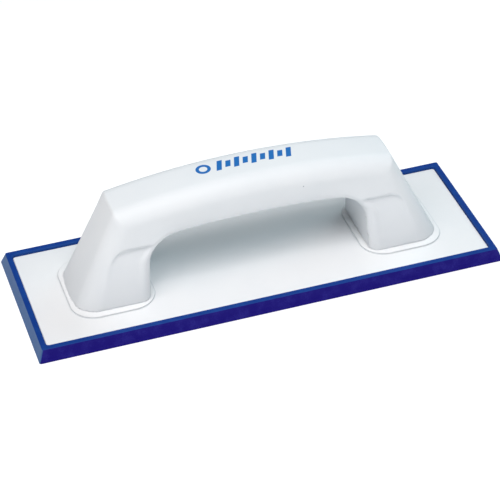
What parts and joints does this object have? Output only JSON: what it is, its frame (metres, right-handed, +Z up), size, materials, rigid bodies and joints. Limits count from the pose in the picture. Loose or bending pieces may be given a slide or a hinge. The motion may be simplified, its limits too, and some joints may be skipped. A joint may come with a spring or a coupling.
{
  "type": "rubber-faced hand float",
  "caption": "Hand float with a bridge-shaped hollow white plastic handle on a flat white plate, sunk in a blue rubber sole with outward-sloping edges.",
  "frame": {"origin": "middle of the sole's flat working face", "axes": "+X along the float's length, +Y across its width, +Z up from the working face to the grip"},
  "size_m": [0.28, 0.1, 0.0713],
  "materials": {
    "sole_rubber": "deep blue moulded rubber, smooth satin",
    "plate_plastic": "white moulded plastic, smooth satin",
    "handle_plastic": "cool white moulded plastic, satin",
    "screw_steel": "bright zinc-plated steel"
  },
  "bodies": {
    "root": {"rubber_sole": "sole_rubber", "base_plate": "plate_plastic", "handle_shell": "handle_plastic", "grip_liner": "handle_plastic", "screw_left_front": "screw_steel", "screw_left_back": "screw_steel", "screw_right_front": "screw_steel", "screw_right_back": "screw_steel"}
  },
  "joints": []
}
